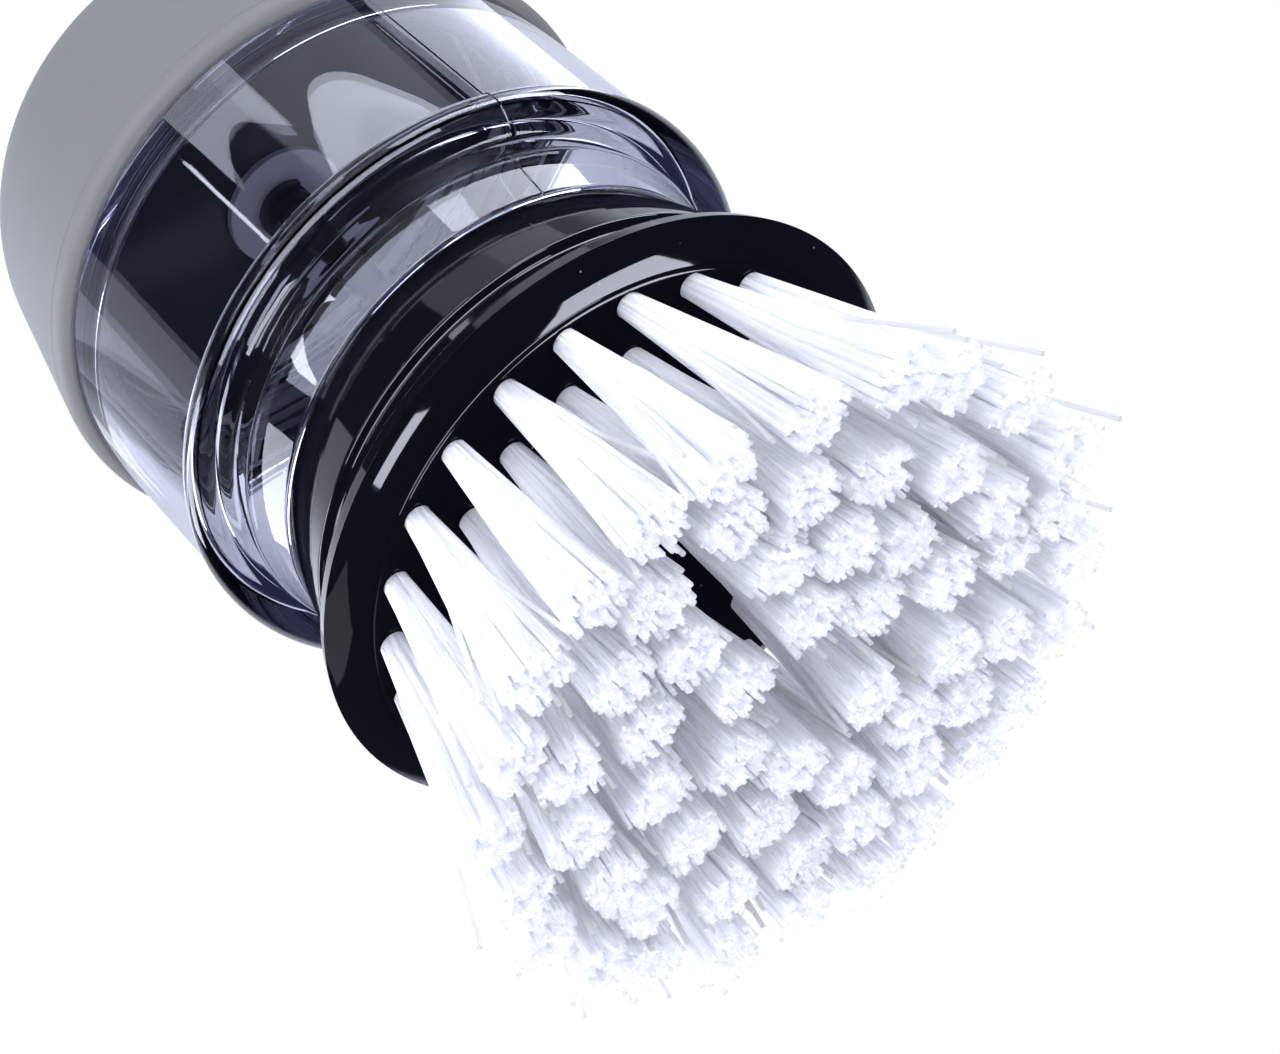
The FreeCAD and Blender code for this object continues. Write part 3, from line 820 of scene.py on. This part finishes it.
class BRUSH_OT_tufts(bpy.types.Operator):
    """Models the tufts, filament by filament, ring by ring"""

    bl_idname = "brush.tufts"
    bl_label = "Bristle Tufts"

    def execute(self, context):
        bristles = context.scene.brush_bristles
        finish = bristle_finish()
        draw = random.Random(bristles.seed)
        for index, (node, _) in enumerate(RINGS):
            curve = bpy.data.curves.new(node + "_filaments", "CURVE")
            curve.dimensions = "3D"
            curve.bevel_depth = bristles.filament_radius
            curve.bevel_resolution = 1
            curve.use_fill_caps = True
            for mouth, out, _ in ring_places(index):
                for points in tuft_filaments(mouth, out, draw):
                    spline = curve.splines.new("POLY")
                    spline.points.add(len(points) - 1)
                    for point, place in zip(spline.points, points):
                        point.co = (*place, 1)
            piece = bpy.data.objects.new(node + "_filaments", curve)
            context.scene.collection.objects.link(piece)
            take(piece)
            bpy.ops.object.convert(target="MESH")
            piece = bpy.context.object
            finish_piece(piece, finish, "head", [node], smooth=70)
            piece.visible_glossy = False
        return {"FINISHED"}


class BRUSH_OT_tank(bpy.types.Operator):
    """Models the clear tank: threaded neck, waist, rounded bulge, plain wall, mouth and mould seams"""

    bl_idname = "brush.tank"
    bl_label = "Soap Tank"

    def execute(self, context):
        tank = context.scene.brush_tank
        head = context.scene.brush_head
        thread = context.scene.brush_thread
        collar_top = head.flange_radius - head.overhang - head.collar_flare
        collar = head_high.z
        neck = collar_top - head.collar_wall - thread.height - thread.gap
        neck_bore = neck - tank.wall
        waist_top = collar_top + tank.waist_flare
        wall = waist_top + tank.shoulder_width
        wall_bore = wall - tank.wall
        crest = tank_high.x
        bulge_level = collar + tank.waist_height
        crest_level = bulge_level + tank.bulge_rise
        wall_level = crest_level + tank.bulge_fall
        shoulder = wall_level + tank.wall_height
        mouth = wall - tank.mouth_inset
        mouth_bore = mouth - tank.wall
        floor_top = collar - tank.floor_drop
        floor_bottom = floor_top - tank.floor
        spout_bottom = floor_bottom - tank.spout_drop
        spout = tank.spout_bore + tank.spout_wall
        inner_end = waist_top - tank.wall
        inner_level = bulge_level + tank.ring_lift
        inner_top = wall_level - 0.1 * tank.bulge_fall
        bulge_foot = (waist_top, bulge_level)
        bulge_crest = (crest, crest_level)
        wall_foot = (wall, wall_level)
        ring_foot = (inner_end, inner_level)
        ring_top = (wall_bore, inner_top)
        bulge_middle = part_way(bulge_foot, bulge_crest, across=0.78, up=0.26)
        fall_middle = part_way(bulge_crest, wall_foot, across=0.22, up=0.5)
        ring_middle = part_way(ring_foot, ring_top, across=0.74, up=0.28)
        inner_shoulder = shoulder - tank.wall
        outline = softened([
            (tank.spout_bore, spout_bottom, 0.4 * MM),
            (spout, spout_bottom, 0.5 * MM),
            (spout, floor_bottom, 0.6 * MM),
            (neck_bore, floor_bottom, 0.6 * MM),
            (neck_bore, tank_low.z, 0.3 * MM),
            (neck, tank_low.z, 0.4 * MM),
            (neck, collar + thread.gap, 0.3 * MM),
            (collar_top, collar + thread.gap, 0.35 * MM),
            (waist_top, bulge_level, 0.5 * MM),
            *arc(bulge_foot, bulge_middle, bulge_crest, 14),
            *arc(bulge_crest, fall_middle, wall_foot, 10),
            (wall, shoulder, 0.25 * MM),
            (mouth, shoulder, 0.4 * MM),
            (mouth, tank_high.z, 0.4 * MM),
            (mouth_bore, tank_high.z, 0.4 * MM),
            (mouth_bore, inner_shoulder + wall_bore - mouth_bore, 1.2 * MM),
            (wall_bore, inner_shoulder, 1.5 * MM),
            ring_top,
            *stepped(arc(ring_top, ring_middle, ring_foot, 28), tank.step_depth),
            (neck_bore, floor_top, 1.2 * MM),
            (tank.guide_radius, floor_top, 0.2 * MM),
            (tank.guide_radius, floor_top - tank.guide_seat),
            (tank.spout_bore, floor_top - tank.guide_seat, 0.2 * MM),
        ])
        piece = spun("tank_clear_wall", outline)
        self.raise_seams(piece, tank, collar, shoulder)
        add_thread(piece, neck, True, tank_low.z, collar, raised=False)
        add_thread(piece, mouth, True, cap_low.z, tank_high.z, raised=True)
        finish_piece(piece, tank_finish(), "tank", ["tank"], smooth=28)
        return {"FINISHED"}

    def raise_seams(self, piece, tank, low, high):
        """Cuts three close lines along the mould's parting plane and draws the middle one outwards."""
        take(piece)
        across = Vector((-math.sin(tank.seam_angle), math.cos(tank.seam_angle), 0))
        bpy.ops.object.mode_set(mode="EDIT")
        for offset in (-tank.seam_width, tank.seam_width, 0):
            bpy.ops.mesh.select_all(action="SELECT")
            bpy.ops.mesh.bisect(plane_co=across * offset, plane_no=across)
        bpy.ops.mesh.select_all(action="DESELECT")
        bpy.ops.object.mode_set(mode="OBJECT")
        for vertex in piece.data.vertices:
            outward = vertex.normal.xy.dot(vertex.co.xy) > 0.1 * vertex.co.xy.length
            on_plane = abs(vertex.co.dot(across)) < ON_PLANE
            vertex.select = on_plane and outward and low < vertex.co.z < high
        grow = 1 + tank.seam_height / tank_high.x
        bpy.ops.object.mode_set(mode="EDIT")
        bpy.ops.transform.resize(value=(grow, grow, 1), center_override=(0, 0, 0))
        bpy.ops.object.mode_set(mode="OBJECT")


class BRUSH_OT_cap(bpy.types.Operator):
    """Models the grey cap: rolled lip with a fine line, leaning side, rounded crown and the button's well"""

    bl_idname = "brush.cap"
    bl_label = "Cap"

    def execute(self, context):
        cap = context.scene.brush_cap
        tank = context.scene.brush_tank
        thread = context.scene.brush_thread
        lip_radius = cap_high.x
        wall = lip_radius - cap.lip_proud
        lip_level = cap_low.z + cap.lip_height
        bore = wall - tank.mouth_inset + thread.height + thread.gap
        foot = wall + cap.lip_overlap
        lip_middle = part_way((foot, cap_low.z), (lip_radius, lip_level), across=0.7, up=0.35)
        centre_height = cap_high.z - cap.crown_round
        reach = cap.crown_round + (centre_height - lip_level) * math.sin(cap.taper)
        centre = Vector((lip_radius - reach / math.cos(cap.taper), centre_height))
        well = button_high.x + cap.button_gap
        seat = closure_high.x + cap.press_gap
        ledge = closure_high.x - cap.ledge_depth
        ledge_top = closure_high.z + cap.ledge_height
        inside = lip_radius - (ledge_top - lip_level) * math.tan(cap.taper) - cap.wall / math.cos(cap.taper)
        step_level = tank_high.z + thread.gap

        def crown(radius, angle):
            """Point round the middle of the crown's rounded edge."""
            return tuple(centre + Vector((math.cos(angle), math.sin(angle))) * radius)

        top = math.pi / 2
        half = (cap.taper + top) / 2
        inner = cap.crown_round - cap.wall
        outline = softened([
            (bore, cap_low.z, 0.3 * MM),
            (foot, cap_low.z, 0.35 * MM),
            *arc((foot, cap_low.z), lip_middle, (lip_radius, lip_level - cap.lip_line), 10)[1:],
            (lip_radius - cap.lip_line, lip_level),
            (lip_radius - 0.3 * cap.lip_line, lip_level + cap.lip_line),
            crown(cap.crown_round, cap.taper),
            *arc(*[crown(cap.crown_round, angle) for angle in (cap.taper, half, top)], 24),
            (well, cap_high.z, 0.4 * MM),
            (well, cap_high.z - cap.well_depth),
            (well + cap.well_wall, cap_high.z - cap.well_depth),
            (well + cap.well_wall, cap_high.z - cap.wall, 0.5 * MM),
            crown(inner, top),
            *arc(*[crown(inner, angle) for angle in (top, half, cap.taper)], 12),
            (inside, ledge_top),
            (ledge, ledge_top),
            (ledge, closure_high.z),
            (seat, closure_high.z),
            (seat, step_level + bore - seat),
            (bore, step_level),
        ])
        piece = spun("cap_shell_matte", outline)
        add_thread(piece, bore, False, cap_low.z, tank_high.z, raised=False)
        finish_piece(piece, cap_finish(), "cap", ["cap_shell"], smooth=30)
        return {"FINISHED"}


class BRUSH_OT_button(bpy.types.Operator):
    """Models the soft press button with a rounded edge and a low domed top"""

    bl_idname = "brush.button"
    bl_label = "Press Button"

    def execute(self, context):
        cap = context.scene.brush_cap
        radius = button_high.x
        proud = button_high.z - cap_high.z
        under = button_high.z - cap.button_wall
        bore = radius - cap.button_wall
        dome = (radius * radius + proud * proud) / (2 * proud)
        half = math.asin(radius / dome) / 2
        middle = (dome * math.sin(half), button_high.z - dome + dome * math.cos(half))
        outline = softened([
            (bore, button_low.z, 0.3 * MM),
            (radius, button_low.z, 0.4 * MM),
            (radius, cap_high.z, 0.7 * MM),
            *arc((radius, cap_high.z), middle, (0.0, button_high.z), 16),
            (0.0, under),
            (bore, under, 0.3 * MM),
        ])
        piece = spun("press_button_soft", outline)
        finish_piece(piece, button_finish(), "button", ["button_pad"])
        return {"FINISHED"}


class BRUSH_OT_spring(bpy.types.Operator):
    """Winds the return spring"""

    bl_idname = "brush.spring"
    bl_label = "Return Spring"

    def execute(self, context):
        spring = context.scene.brush_spring
        radius = spring_high.x - spring.wire / 2
        length = spring_high.z - spring_low.z
        clear_selection()
        bpy.ops.mesh.primitive_circle_add(
            vertices=WIRE_STEPS, radius=spring.wire / 2, rotation=(math.pi / 2, 0, 0),
            location=(radius, 0, spring_low.z + spring.wire / 2),
        )
        piece = bpy.context.object
        piece.name = "return_spring_coil"
        bpy.ops.object.transform_apply(location=True, rotation=True, scale=True)
        bpy.ops.object.modifier_add(type="SCREW")
        winding = piece.modifiers[-1]
        winding.angle = 2 * math.pi
        winding.iterations = spring.turns
        winding.screw_offset = (length - spring.wire) / spring.turns
        winding.steps = winding.render_steps = COIL_STEPS
        bpy.ops.object.modifier_apply(modifier=winding.name)
        edit_all()
        bpy.ops.mesh.fill_holes(sides=0)
        mend_mesh()
        finish_piece(piece, steel_finish(), "tank", ["return_spring"], smooth=50)
        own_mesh(piece)
        return {"FINISHED"}


class BRUSH_OT_inner(bpy.types.Operator):
    """Gives the closure, the button's works, the valve and the seals their finishes"""

    bl_idname = "brush.inner"
    bl_label = "Inner Pieces"

    def execute(self, context):
        closure = moulded_finish("closure_black", (0.012, 0.013, 0.017), roughness=0.35, grain=0.5 * MM)
        sleeve = moulded_finish("sleeve_grey", (0.34, 0.34, 0.42), roughness=0.3, grain=0.6 * MM)
        plunger = moulded_finish("plunger_black", (0.012, 0.012, 0.015), roughness=0.25, grain=0.8 * MM)
        valve = moulded_finish("valve_black", (0.02, 0.02, 0.024), roughness=0.3, grain=0.6 * MM)
        finishes = {
            closure: ["cap_closure"],
            sleeve: ["button_sleeve"],
            plunger: ["button_plunger", "button_clip"],
            valve: ["stem_guide", "valve_stem", "spring_cup", "valve_poppet"],
            silicone_finish(): ["cap_gasket", "neck_seal", "plunger_seal", "poppet_ring"],
            steel_finish(): ["anchor_wires"],
        }
        for finish, nodes in finishes.items():
            for node in nodes:
                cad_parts[node].material_slots[0].material = finish
        return {"FINISHED"}


# Softboxes: name, azimuth, elevation and roll in degrees, distance, width and height in metres, brightness,
# and True where only gloss and clear plastic show the lamp, False where only matte surfaces take its light
SOFTBOXES = (
    ("low_right", 140, -64, 20, 0.8, 0.46, 0.25, 12.0, True),
    ("low_left", -44, -61, -20, 0.8, 0.25, 0.16, 13.0, True),
    ("rim_left", -100, -34, 0, 0.8, 0.35, 0.4, 0.7, True),
    ("high_front", 8, 53.6, 0, 0.6, 0.21, 0.13, 3.0, True),
    ("high_edge", -13.5, 45, 0, 0.6, 0.008, 0.06, 9.0, True),
    ("high_lower", 42, 45.5, 0, 0.7, 0.7, 0.044, 4.2, True),
    ("high_right", 45, 49.5, 0, 0.7, 0.5, 0.09, 0.7, True),
    ("high_far", 107, 46.5, 0, 0.7, 0.44, 0.12, 2.2, True),
    ("high_left", -90, 49.5, 0, 0.7, 0.42, 0.12, 0.8, True),
    ("side_upper", -27, 28.2, 0, 0.7, 0.33, 0.008, 16.0, True),
    ("side_lower", -27, 26.4, 0, 0.7, 0.33, 0.01, 16.0, True),
    ("side_middle", 5, 26.5, 0, 0.7, 0.7, 0.14, 0.8, True),
    ("side_right", 65, 28, 0, 0.7, 0.7, 0.16, 9.0, True),
    ("side_left", -90, 30, 0, 0.7, 0.55, 0.2, 7.0, True),
    ("crest_band", 0, 2, 0, 0.7, 1.6, 0.2, 9.0, True),
    ("collar_right", 60, 66, 0, 0.9, 0.5, 0.35, 0.6, True),
    ("collar_far", 98, 66, 0, 0.9, 0.5, 0.35, 0.3, True),
    ("collar_left", -115, 60, 0, 0.9, 0.7, 0.35, 0.9, True),
    ("broad_left", -80, 5, 0, 0.9, 0.9, 0.9, 1.0, False),
    ("broad_front", 0, -30, 0, 0.9, 0.7, 0.7, 0.3, False),
)


def softbox(name, azimuth, elevation, roll, distance, width, height, brightness, mirrored):
    """Rectangular lamp that faces the middle of the brush from an azimuth and elevation."""
    around, above, twist = [math.radians(degrees) for degrees in (azimuth, elevation, roll)]
    level_away = Vector((math.sin(around), -math.cos(around), 0))
    away = level_away * math.cos(above) + Vector((0, 0, math.sin(above)))
    level = Vector((math.cos(around), math.sin(around), 0))
    side = level * math.cos(twist) + away.cross(level) * math.sin(twist)
    data = bpy.data.lights.new(name, "AREA")
    data.shape = "RECTANGLE"
    data.size = width
    data.size_y = height
    data.energy = brightness * math.pi * width * height
    stage = bpy.context.scene.brush_stage
    data.color = stage.gleam if mirrored else stage.cast
    lamp = bpy.data.objects.new(name, data)
    bpy.context.scene.collection.objects.link(lamp)
    place = Vector((0, 0, (cad_box[0].z + cad_box[1].z) / 2)) + away * distance
    facing = Matrix((side, away.cross(side), away)).transposed().to_4x4()
    lamp.matrix_world = Matrix.Translation(place) @ facing
    lamp.visible_camera = False
    lamp.visible_glossy = lamp.visible_transmission = mirrored
    lamp.visible_diffuse = not mirrored


class BRUSH_OT_stage(bpy.types.Operator):
    """Sets the pale floor, the soft lamps, the white room and the camera"""

    bl_idname = "brush.stage"
    bl_label = "Stage"

    def execute(self, context):
        stage = context.scene.brush_stage
        back = Vector((0, -math.cos(stage.elevation), math.sin(stage.elevation)))
        self.set_camera(context, stage, back)
        self.set_floor(stage)
        self.set_room(context, stage, back)
        for lamp in SOFTBOXES:
            softbox(*lamp)
        context.scene.view_settings.view_transform = "Standard"
        return {"FINISHED"}

    def set_camera(self, context, stage, back):
        """Camera at the picture's angle, turned about its view axis."""
        level_right = Vector((1, 0, 0))
        level_up = back.cross(level_right)
        right = level_right * math.cos(stage.roll) + level_up * math.sin(stage.roll)
        up = back.cross(right)
        middle = Vector((0, 0, head_low.z + context.scene.brush_head.underside_rise))
        data = bpy.data.cameras.new("picture_camera")
        data.lens = stage.lens
        data.clip_start = 0.01
        camera = bpy.data.objects.new("picture_camera", data)
        context.scene.collection.objects.link(camera)
        place = middle + back * stage.distance - right * stage.aim_right - up * stage.aim_up
        turn_to = Matrix((right, up, back)).transposed().to_4x4()
        camera.matrix_world = Matrix.Translation(place) @ turn_to
        context.scene.camera = camera

    def set_floor(self, stage):
        """Pale floor that only the camera sees, and only from above, fading into the white room."""
        clear_selection()
        bpy.ops.mesh.primitive_plane_add(size=stage.floor_size, location=(0, 0, 0))
        floor = bpy.context.object
        floor.name = "floor"
        floor.visible_diffuse = floor.visible_glossy = floor.visible_transmission = False
        floor.visible_shadow = False
        finish = Finish("floor_white", (0.86, 0.86, 0.87), roughness=0.7, Specular_IOR_Level=0.2)
        cloud = finish.noise(grain=50 * MM, detail=3)
        finish.colour(finish.mix(cloud, (0.85, 0.85, 0.86), (0.88, 0.88, 0.885)))
        reach = finish.maths("ShaderNodeVectorMath", "LENGTH", finish.coordinates).outputs["Value"]
        fade = finish.between(reach, 0.0, 1.0, start=stage.floor_middle, end=stage.floor_end)
        behind = finish.node("ShaderNodeNewGeometry").outputs["Backfacing"]
        hidden = finish.maths("ShaderNodeMath", "MAXIMUM", fade, behind).outputs[0]
        clear = finish.node("ShaderNodeBsdfTransparent").outputs[0]
        blend = finish.node("ShaderNodeMixShader")
        for socket, value in zip(blend.inputs, (hidden, finish.shader.outputs[0], clear)):
            finish.feed(socket, value)
        finish.feed(finish.tree.nodes["Material Output"].inputs["Surface"], blend.outputs[0])
        floor.data.materials.append(finish.material)

    def set_room(self, context, stage, back):
        """Room that is white to the camera.

        Gloss mirrors a white wall straight behind the brush and dusk elsewhere. Matte surfaces take an even
        fill that weakens towards straight below.
        """
        world = bpy.data.worlds.new("white_room")
        context.scene.world = world
        world.use_nodes = True
        room = Nodes(world.node_tree)
        direction = room.node("ShaderNodeTexCoord").outputs["Generated"]
        facing = room.maths("ShaderNodeVectorMath", "DOT_PRODUCT", direction, back).outputs["Value"]
        wall_start, wall_end = WHITE_WALL
        beside = room.between(facing, 0.0, 1.0, start=wall_start, end=wall_end, blend="SMOOTHSTEP")
        mirrored = room.mix(beside, stage.gleam, stage.dusk)
        upward = room.node("ShaderNodeSeparateXYZ", Vector=direction).outputs["Z"]
        fill_start, fill_end = FILL_RISE
        strength = room.between(upward, stage.fill_below, stage.fill, start=fill_start, end=fill_end)
        fill = room.maths("ShaderNodeVectorMath", "SCALE", stage.cast)
        room.feed(fill.inputs["Scale"], strength)
        path = room.node("ShaderNodeLightPath").outputs
        from_matte = room.maths("ShaderNodeMath", "MINIMUM", path["Diffuse Depth"], 1.0).outputs[0]
        felt = room.mix(from_matte, mirrored, fill.outputs[0])
        seen = room.mix(path["Is Camera Ray"], felt, (1, 1, 1))
        room.feed(room.tree.nodes["Background"].inputs["Color"], seen)


class BRUSH_PT_panel(bpy.types.Panel):
    """Lists the steps that dress the brush, with the sizes that they use"""

    bl_idname = "BRUSH_PT_panel"
    bl_label = "Dish Brush"
    bl_space_type = "VIEW_3D"
    bl_region_type = "UI"
    bl_category = "Dish Brush"

    def draw(self, context):
        for step in STEPS:
            self.layout.operator(step.bl_idname)
        for group in GROUPS:
            box = self.layout.box()
            box.label(text=group.removeprefix("brush_").capitalize())
            values = getattr(context.scene, group)
            for name in values.__annotations__:
                box.prop(values, name, text=name.replace("_", " ").capitalize())


STEPS = (
    BRUSH_OT_head,
    BRUSH_OT_disc,
    BRUSH_OT_tufts,
    BRUSH_OT_tank,
    BRUSH_OT_cap,
    BRUSH_OT_button,
    BRUSH_OT_spring,
    BRUSH_OT_inner,
    BRUSH_OT_stage,
)


def register():
    """Adds the property groups to the scene, then the operators and the panel."""
    for group, kind in GROUPS.items():
        bpy.utils.register_class(kind)
        setattr(bpy.types.Scene, group, bpy.props.PointerProperty(type=kind))
    for kind in STEPS + (BRUSH_PT_panel,):
        bpy.utils.register_class(kind)


def unregister():
    """Takes everything away again that register adds."""
    for kind in reversed(STEPS + (BRUSH_PT_panel,)):
        bpy.utils.unregister_class(kind)
    for group, kind in GROUPS.items():
        delattr(bpy.types.Scene, group)
        bpy.utils.unregister_class(kind)


def main():
    """Dresses the brush."""
    register()
    for step in STEPS:
        getattr(bpy.ops.brush, step.bl_idname.split(".")[1])()
    clear_selection()


if __name__ == "__main__":
    main()
